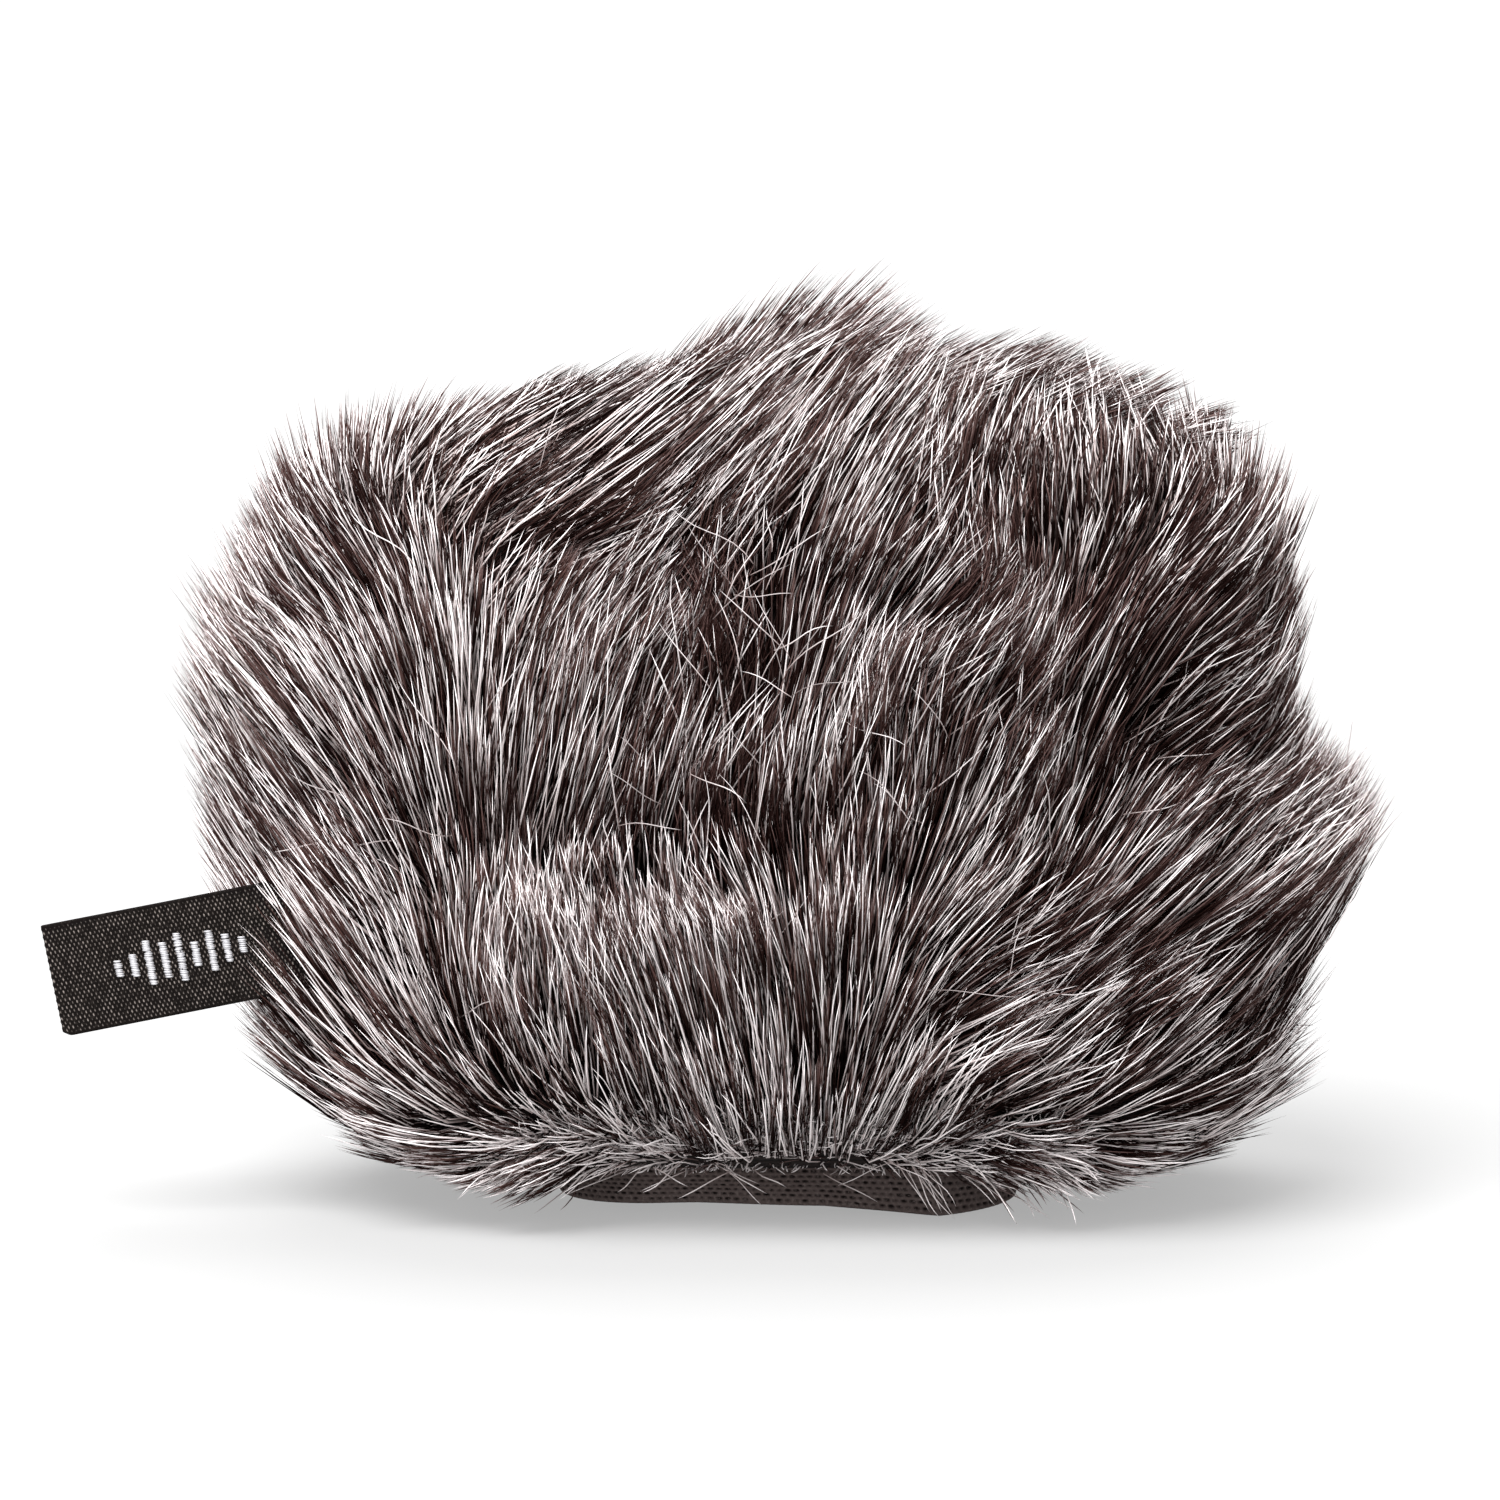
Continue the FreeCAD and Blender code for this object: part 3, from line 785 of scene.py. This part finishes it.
def make_fringe(material):
    """A short thick fringe that covers the backing's lower edge over the elastic."""
    rng = np.random.default_rng(505)
    roots = np.concatenate([roots_on(panel, FRINGE_DENSITY, rng) for panel in ("front", "back")])
    roots = roots[under_fringe(roots, FRINGE_RISE)]
    count = len(roots)
    normals = SKIN.normal(roots)
    side = -np.sign(roots[:, 1])
    angle = np.radians(combed_degrees(roots * xyz(side, side, 1.0)) + rng.normal(0, 24, count))
    forward = rng.uniform(0.5, 1.6, count)
    directions = unit(xyz(np.cos(angle) * side, -side * forward, np.sin(angle)) + normals * 0.3)
    lengths = rng.uniform(5, 13, count)
    at_edge = roots[:, 2] < SKIN.low[2] + DROOP_RISE
    drooping = (rng.random(count) < DROOP_SHARE) & at_edge
    directions[drooping] *= (1, 1, DROOP_TURN)
    lengths[drooping] *= DROOP_LENGTH
    lines = bent_lines(roots - normals * 0.5, directions, in_plane(directions), lengths,
                       rng.normal(0, 0.12, count), rng)
    lines = keep_clear_below(lines)
    widths = width_profile(STRAY_SHARES, 0.2, 0.4, count, rng)
    tones = fade(0.1, 0.5, rng.random(count))
    made = strand_object("hem_fringe", lines, STRAY_SHARES, widths, tones, material, rng, begin=0.38)
    declare(made, "shell")


def make_strays(material):
    rng = np.random.default_rng(303)
    towards = [unit(rng.normal(size=(STRAYS_ALL_OVER, 3)))]
    for x, z, radius, count in TANGLES:
        near_x = rng.normal(x, radius * 0.55, count)
        near_z = rng.normal(z, radius * 0.55, count)
        towards.append(unit(xyz(near_x, TANGLE_Y, near_z) - CENTRE))
    lines = np.concatenate([stray_lines(np.concatenate(towards), rng), hem_lines(rng)])
    lines = lines[lines[..., 2].min(axis=1) > FLOOR_GAP]
    out, up, _ = label_coordinates(lines)
    by_label = (out > -2) & (np.abs(up) < LABEL_HALF_WIDTH + 2)
    x, y, z = np.moveaxis(lines, 2, 0)
    over_mouth = (np.abs(x) < MOUTH_HALF_WIDTH) & (np.abs(y) < MOUTH_HALF_DEPTH) & (z < SKIN.middle[2])
    lines = lines[~(by_label | over_mouth).any(axis=1)]
    widths = width_profile(STRAY_SHARES, STRAY_WIDTH, 0.4, len(lines), rng)
    tones = rng.uniform(0.35, 1.0, len(lines))
    made = strand_object("stray_hairs", lines, STRAY_SHARES, widths, tones, material, rng, begin=0.4)
    declare(made, "shell")


GUARD_MATERIAL = make_fur()
make_fringe(GUARD_MATERIAL)
make_strays(GUARD_MATERIAL)


# ---- the elastic and its binding
MOUTH_CORNER = 12.0
BAND_THICK = 1.4
KNIT_LOOPS = 163  # round the mouth, in each row
KNIT_ROW = 0.75
KNIT_RELIEF = 0.26
BAND_EDGE = (  # (x, share) of how far the elastic's lower edge curls up off the floor
    (-26, 0.75), (-10, 1.0), (4, 0.9), (17, 0.05), (26, 0.4),
)


def mouth_outline(count):
    """Points round the mouth in equal steps, the first again at the end, and outward normals."""
    x, y = MOUTH_HALF_WIDTH - MOUTH_CORNER, MOUTH_HALF_DEPTH - MOUTH_CORNER
    bend = MOUTH_CORNER * math.pi / 2
    knots = np.cumsum([0, x, bend, 2 * y, bend, 2 * x, bend, 2 * y, bend, x])
    places = np.linspace(0, knots[-1], count + 1)
    turns = np.interp(places, knots, np.array([0, 0, 1, 1, 2, 2, 3, 3, 4, 4]) * math.pi / 2)
    normals = np.stack([np.sin(turns), np.cos(turns)], axis=1)
    core_x = np.interp(places, knots, [0, x, x, x, x, -x, -x, -x, -x, 0])
    core_y = np.interp(places, knots, [y, y, y, -y, -y, -y, -y, y, y, y])
    return np.stack([core_x, core_y], axis=1) + MOUTH_CORNER * normals, normals, places


def section_loop(low, high, thick, rows_out, rows_in, rounding):
    """A flat band's section, up its outer face and down its inner.

    Gives the depth inwards, the height, and which face each point is on: 1 outer, -1 inner.
    """
    bottom, top, middle = low + rounding, high - rounding, thick / 2
    turn = np.linspace(0, math.pi, 6)[1:-1]
    depth = np.concatenate([np.zeros(rows_out), middle - middle * np.cos(turn),
                            np.full(rows_in, thick), middle + middle * np.cos(turn)])
    height = np.concatenate([np.linspace(bottom, top, rows_out), top + rounding * np.sin(turn),
                             np.linspace(top, bottom, rows_in), bottom - rounding * np.sin(turn)])
    face = np.repeat([1.0, 0.3, -1.0, 0.3], [rows_out, len(turn), rows_in, len(turn)])
    return depth, height, face


def knit(along, height, pitch, row):
    """How far each point of a knitted face is raised, and the same made uneven for its colour, with the
    holes between loops darkened as painted shade.
    """
    index = np.round(height / row)
    place = along / pitch + 0.5 * (index % 2)
    hole = np.cos(math.pi * (height / row - index)) ** 2.4 * np.abs(np.cos(math.pi * place)) ** 1.2
    loop = uneven(np.round(place), index, 71)
    yarn = 0.75 + 0.25 * uneven(np.floor(2 * place), index, 73)
    return 1 - hole, yarn * (1 - np.minimum(1.2 * hole * loop, 1))


def uneven(first, second, seed):
    """A different steady value, about 0.35 to 1.15, for each pair of whole numbers."""
    table = np.random.default_rng(seed).uniform(0.35, 1.15, (997, 61))
    return table[first.astype(int) % 997, second.astype(int) % 61]


def ring_piece(name, material, inset, low, high, thick, rows, loops, row, relief, waves):
    """A band of cloth round the mouth, with its knit raised on both faces.

    rows are the points up its outer and inner faces, loops how many knitted loops go round, row
    the height of one row, and waves how far the lower edge curls up.
    """
    stations = 4 * loops
    outline, normals, places = mouth_outline(stations)
    depth, height, face = section_loop(low, high, thick, *rows, thick * 0.4)
    depth = inset + np.tile(depth, (stations + 1, 1))
    height = np.tile(height, (stations + 1, 1))
    # the colour value darkens the knit's holes: painted shade
    raised, yarn_tone_and_hole_shade = knit(places[:, None], height, places[-1] / loops, row)
    depth -= face * relief * (raised - 0.5)
    at = xyz(*outline.T, 0.0)
    at[-1] = at[0]
    low_share = 1 - fade(low, low + 6, height)
    side = np.where(at[:, 1] > -1e-6, -1, 1)  # the back's edge is the front's, turned about
    lift = waves * np.interp(at[:, 0] * side, *zip(*BAND_EDGE))[:, None]
    sway = waves * 0.5 * wobble(at, 30, 62)[:, None]
    height = height + lift * low_share
    depth = depth + sway * low_share * fade(low, low + 1.5, height)
    points = xyz(at[:, None, 0] - normals[:, None, 0] * depth,
                 at[:, None, 1] - normals[:, None, 1] * depth, height)
    points[-1] = points[0]
    return loop_object(name, points, yarn_tone_and_hole_shade, material)


def cloth_material(name, valley, crest, fleck, roughness, fleck_scale):
    """Yarn that is darker where its raised value is low, with uneven fibres. On the knits that dark is
    painted shade in the holes between loops; on the label it is the dark ground yarn between the pale
    threads.
    """
    material, tree, shader = new_material(name, roughness, 0.05)
    base = ramp(tree, attribute(tree, "raised"), [(0.15, valley), (0.85, crest)])
    fibres = texture(tree, "Noise", Scale=fleck_scale, Detail=3.0)
    share = ramp(tree, fibres, [(0.52, (0, 0, 0)), (0.72, (0.6, 0.6, 0.6))])
    finish_surface(tree, shader, mixed(tree, share, base, (*fleck, 1)), fibres, 0.35, 0.1)
    return material


def make_mouth():
    elastic = cloth_material("elastic knit", (0.006, 0.004, 0.0037), (0.088, 0.068, 0.064),
                             (0.15, 0.122, 0.116), 0.85, 2600)
    band = ring_piece("elastic_knit", elastic, 0.0, 0.02, MOUTH_HIGH[2], thick=BAND_THICK,
                      rows=(91, 20), loops=KNIT_LOOPS, row=KNIT_ROW, relief=KNIT_RELIEF, waves=1.5)
    declare(band, "shell", "elastic_band")
    low, high = (corner[2] for corner in node_box("mouth_binding"))
    tape = cloth_material("binding tape", (0.010, 0.008, 0.008), (0.030, 0.025, 0.025),
                          (0.05, 0.043, 0.042), 0.75, 2200)
    binding = ring_piece("binding_tape", tape, BAND_THICK, low, high, thick=0.7, rows=(16, 16),
                         loops=82, row=0.5, relief=0.08, waves=0.0)
    declare(binding, "shell", "mouth_binding")


make_mouth()


# ---- the label
LABEL_LENGTH = 35.8
LABEL_START = 0.4
PLY_MIDDLE = 0.21  # from the label's middle plane to the middle of either ply
PLY_THICK = 0.34
WEAVE_PITCH = 0.5  # along the label, between pale threads
WEAVE_RISE = 0.9  # and across it
WEAVE_RELIEF = 0.09
MOTIF_BARS = (1.6, 3.0, 4.4, 2.6, 5.2, 3.8, 4.8, 2.4, 1.6)
MOTIF_PITCH = 1.75
MOTIF_BAR_WIDTH = 0.85
MOTIF_START = 14.2
MOTIF_THREAD = 0.24
MOTIF_THREAD_PITCH = 0.19


def ply_path():
    """The folded ribbon's middle line: out, forward, its turn from straight out, its length."""
    step = WEAVE_PITCH / 4
    straight = LABEL_LENGTH - PLY_MIDDLE - PLY_THICK / 2
    along = np.arange(0, straight, step)
    turn = np.linspace(0, math.pi, 10)[1:-1]
    turns = np.concatenate([0 * along, turn, 0 * along + math.pi])
    out = np.concatenate([along, straight + 0 * turn, along[::-1]]) + PLY_MIDDLE * np.sin(turns)
    fold = straight + turn * PLY_MIDDLE
    length = np.concatenate([along, fold, 2 * straight + math.pi * PLY_MIDDLE - along[::-1]])
    return out + LABEL_START, PLY_MIDDLE * np.cos(turns), turns, length


def label_bow(out):
    """How far the label bows forward at each place along it."""
    return 0.16 * np.sin(out / LABEL_LENGTH * math.pi * 1.3) - 0.12 * fade(20, 37, out)


def make_label():
    out, forward, turns, length = ply_path()
    half = LABEL_HALF_WIDTH - 0.05
    rows = 2 * round(half / (WEAVE_RISE / 6)) + 1
    depth, height, face = section_loop(-half, half, PLY_THICK, rows, 12, PLY_THICK / 2)
    up = np.tile(height, (len(out), 1))
    outward = np.tile(PLY_THICK / 2 - depth, (len(out), 1))
    raised = np.cos(2 * math.pi * length[:, None] / WEAVE_PITCH) * np.cos(2 * math.pi * up / WEAVE_RISE)
    raised = np.clip(raised, 0, 1) ** 1.4
    selvedge = fade(half - 0.55, half - 0.3, np.abs(up))
    raised = raised * (1 - selvedge) + 0.35 * selvedge
    pale = raised * (1 - 0.6 * selvedge) * uneven(
        np.round(2 * length[:, None] / WEAVE_PITCH + 0 * up), np.round(2 * up / WEAVE_RISE), 72)
    outward += (face > 0.5) * WEAVE_RELIEF * (raised - 0.4)
    corner = fade(LABEL_LENGTH - 0.9, LABEL_LENGTH + LABEL_START, out)[:, None]
    up = up + 0.5 * corner ** 2 * fade(0.4 * half, half, -up)
    facing = np.cos(turns)[:, None]
    ahead = forward[:, None] + outward * facing + label_bow(out)[:, None] * (1 + 0.5 * up / half)
    outwards = out[:, None] + outward * np.sin(turns)[:, None]
    points = label_space(outwards, up, ahead)
    twill = cloth_material("label twill", (0.0045, 0.0033, 0.0030), (0.26, 0.225, 0.205),
                           (0.020, 0.016, 0.014), 0.85, 3000)
    made = loop_object("folded_label", points, pale, twill)
    declare(made, "label", "woven_label")


def make_motif():
    """Level-meter bars in satin stitch: short threads side by side, each across its bar."""
    rng = np.random.default_rng(404)
    shares = np.array([0.0, 0.06, 0.25, 0.5, 0.75, 0.94, 1.0])
    lines = []
    for index, height in enumerate(MOTIF_BARS):
        left = MOTIF_START + index * MOTIF_PITCH
        count = round(height / MOTIF_THREAD_PITCH)
        for up in np.linspace(-height / 2, height / 2, count):
            start, end = np.array([left, left + MOTIF_BAR_WIDTH]) + rng.normal(0, 0.045, 2)
            out = start + (end - start) * shares
            tilt = up + rng.normal(0, 0.03) + 0.12 * (shares - 0.5)
            arch = PLY_MIDDLE + PLY_THICK / 2 + label_bow(left) * (1 + 0.5 * up / LABEL_HALF_WIDTH)
            arch = arch - 0.02 + 0.15 * np.sin(math.pi * shares) ** 0.6
            lines.append(label_space(out, tilt, arch))
    lines = np.array(lines)
    shape = np.array([0.35, 0.8, 1.0, 1.0, 1.0, 0.8, 0.35])
    widths = MOTIF_THREAD * shape[None] * rng.uniform(0.9, 1.1, (len(lines), 1))
    tones = rng.uniform(0.55, 1.0, len(lines))
    # The thread is paler at the middle of each stitch and darker at both ends: painted highlight on the
    # arched crest and painted shade where it dips into the cloth.
    yarn = fur_material(
        "motif yarn with painted shading",
        [(0.0, (0.16, 0.155, 0.16)), (0.5, (0.36, 0.355, 0.37)), (1.0, (0.16, 0.155, 0.16))],
        [(0.0, (0.26, 0.255, 0.265)), (0.5, (0.60, 0.595, 0.62)), (1.0, (0.26, 0.255, 0.265))],
        0.5, 0.3)
    made = strand_object("motif_threads", lines, shares, widths, tones, yarn, rng, sides=6)
    declare(made, "label", "label_motif")


make_label()
make_motif()


# ---- materials of the CAD nodes
def woven(name, dark, pale, pitch, roughness, relief):
    """A plain weave by position, for the cloth under the fur."""
    material, tree, shader = new_material(name, roughness, 0.15)
    waves = [
        texture(tree, "Wave", settings={"bands_direction": direction}, Scale=0.314 / (pitch * MM),
                Distortion=0.6, Detail=1.0)
        for direction in ("X", "Y", "Z")
    ]
    crossed = node(tree, "Math", {"operation": "MULTIPLY"}, i0=waves[0], i1=waves[2])
    weave = node(tree, "Math", {"operation": "MAXIMUM"}, i0=crossed.outputs[0], i1=waves[1])
    fibres = texture(tree, "Noise", Scale=900.0, Detail=4.0)
    height = node(tree, "Math", {"operation": "MULTIPLY_ADD"}, i0=fibres, i1=0.5,
                  i2=weave.outputs[0]).outputs[0]
    colour = ramp(tree, height, [(0.2, dark), (1.0, pale)])
    finish_surface(tree, shader, colour, height, 0.6, relief)
    return material


def foam_material():
    """Open-cell foam: small dark pores in a matt grey."""
    material, tree, shader = new_material("open-cell foam", 0.95, 0.1)
    pores = texture(tree, "Voronoi", "Distance", Scale=1500.0)
    colour = ramp(tree, pores, [(0.1, (0.006, 0.006, 0.006)), (0.6, (0.035, 0.034, 0.036))])
    finish_surface(tree, shader, colour, pores, 0.9, 0.4)
    return material


def thread_material():
    """Twisted sewing thread."""
    material, tree, shader = new_material("sewing thread", 0.55, 0.3)
    twist = texture(tree, "Wave", settings={"bands_direction": "DIAGONAL"}, Scale=1100.0,
                    Distortion=1.5, Detail=2.0)
    colour = ramp(tree, twist, [(0.1, (0.010, 0.008, 0.007)), (0.9, (0.045, 0.037, 0.034))])
    finish_surface(tree, shader, colour, twist, 0.7, 0.1)
    return material


def finish_nodes():
    """Gives every CAD node that stays its material."""
    backing = woven("fur backing knit", (0.004, 0.003, 0.003), (0.016, 0.011, 0.010), 0.9, 0.85, 0.2)
    lining = woven("lining mesh", (0.004, 0.004, 0.004), (0.028, 0.026, 0.027), 1.2, 0.6, 0.25)
    tab = woven("label tab twill", (0.005, 0.004, 0.004), (0.06, 0.052, 0.048), 0.5, 0.7, 0.1)
    by_ending = {
        "_fur_backing": backing,
        "_lining": lining,
        "_foam": foam_material(),
        "_stitches": thread_material(),
        "_seam_tab": tab,
    }
    for name, made in NODES.items():
        for ending, material in by_ending.items():
            if name.endswith(ending):
                made.data.materials.clear()
                made.data.materials.append(material)


finish_nodes()


# ---- floor, light and camera
CAMERA_ELEVATION = 7.0
CAMERA_DISTANCE = 900.0
VIEW_WIDTH = 168.5  # how much of the object's width plane the frame spans
VIEW_MIDDLE = (-4.2, 50.1)  # x and z at the frame's middle


def make_camera():
    data = bpy.data.cameras.new("camera")
    camera = bpy.data.objects.new("camera", data)
    bpy.context.scene.collection.objects.link(camera)
    tilt = math.radians(CAMERA_ELEVATION)
    x, z = VIEW_MIDDLE
    camera.location = MM * np.array([x, -CAMERA_DISTANCE * math.cos(tilt),
                                     z + CAMERA_DISTANCE * math.sin(tilt)])
    camera.rotation_euler = (math.radians(90) - tilt, 0, 0)
    data.lens = data.sensor_width * CAMERA_DISTANCE / VIEW_WIDTH
    bpy.context.scene.camera = camera


def sun_light(name, azimuth, elevation, strength, spread):
    """A broad soft light from a direction: azimuth 0 is the front, 90 the right."""
    data = bpy.data.lights.new(name, "SUN")
    data.energy = strength
    data.angle = math.radians(spread)
    light = bpy.data.objects.new(name, data)
    bpy.context.scene.collection.objects.link(light)
    light.rotation_euler = (math.radians(90 - elevation), 0, math.radians(azimuth))


FLOOR_HALF = 6000.0
FLOOR_GREY = 0.205
FLOOR_GLOW = 0.38


def make_stage():
    corners = FLOOR_HALF * np.array([[-1, -1, 0], [1, -1, 0], [1, 1, 0], [-1, 1, 0]])
    material, tree, shader = new_material("studio floor", 0.9, 0.0)
    shader.inputs["Emission Color"].default_value = (1, 1, 1, 1)
    shader.inputs["Emission Strength"].default_value = FLOOR_GLOW
    noise = node(tree, "TexNoise", Scale=6.0, Detail=2.0)
    greys = [(0.3, (FLOOR_GREY,) * 3), (0.7, (FLOOR_GREY + 0.01,) * 3)]
    tree.links.new(ramp(tree, noise.outputs["Fac"], greys), shader.inputs["Base Color"])
    mesh_from("floor", corners, np.arange(4), np.array([0]), material)
    world = bpy.data.worlds.new("studio")
    world.use_nodes = True
    world.node_tree.nodes["Background"].inputs["Color"].default_value = (1, 1, 1, 1)
    bpy.context.scene.world = world
    sun_light("key light", -28, 56, 5.9, 38)
    sun_light("top light", 176, 62, 3.4, 44)
    sun_light("fill light", -25, 12, 0.5, 60)
    bpy.context.scene.view_settings.view_transform = "Standard"


make_stage()
make_camera()
